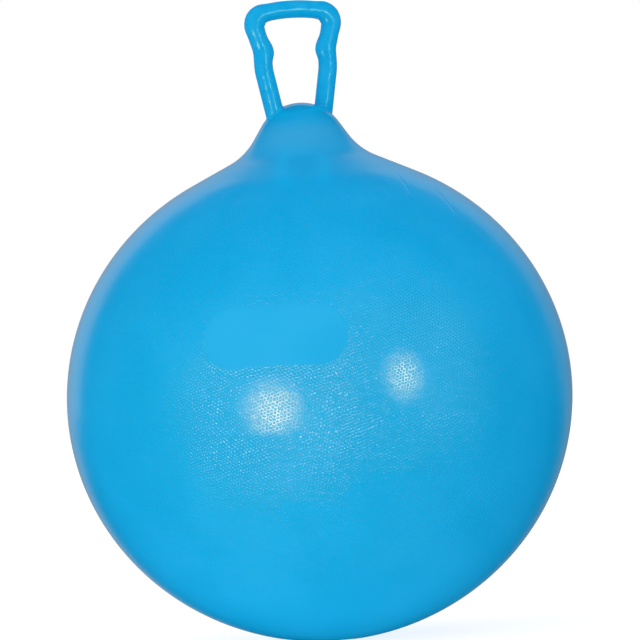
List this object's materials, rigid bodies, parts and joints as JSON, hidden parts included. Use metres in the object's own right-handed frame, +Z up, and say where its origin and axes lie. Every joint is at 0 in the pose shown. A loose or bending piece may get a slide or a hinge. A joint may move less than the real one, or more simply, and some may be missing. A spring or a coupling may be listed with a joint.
{
  "type": "hopper ball",
  "caption": "Large soft ball to sit and bounce on, with a loop handle on a moulded neck and a push-in air plug at the back.",
  "frame": {"origin": "the middle of the flat patch that the ball stands on, under the ball's axis", "axes": "+Z up along the ball's axis and through the handle, X along the top bar of the handle, the valve at the back towards +Y"},
  "size_m": [0.6599, 0.66, 0.8356],
  "materials": {
    "grained_vinyl": "soft blue vinyl with a fine pebbled grain",
    "smooth_vinyl": "soft blue vinyl, smooth and glossy",
    "seat_vinyl": "firmer blue vinyl, satin",
    "plug_plastic": "off-white polyethylene, satin"
  },
  "bodies": {
    "ball": {"ball_skin": "grained_vinyl", "handle": "smooth_vinyl", "valve_seat": "seat_vinyl"},
    "plug": {"valve_plug": "plug_plastic"}
  },
  "joints": [
    {"name": "plug_pull", "type": "slide", "parent": "ball", "child": "plug", "axis": [0, 0.9781, 0.2079], "range_m": [0, 0.03]}
  ]
}
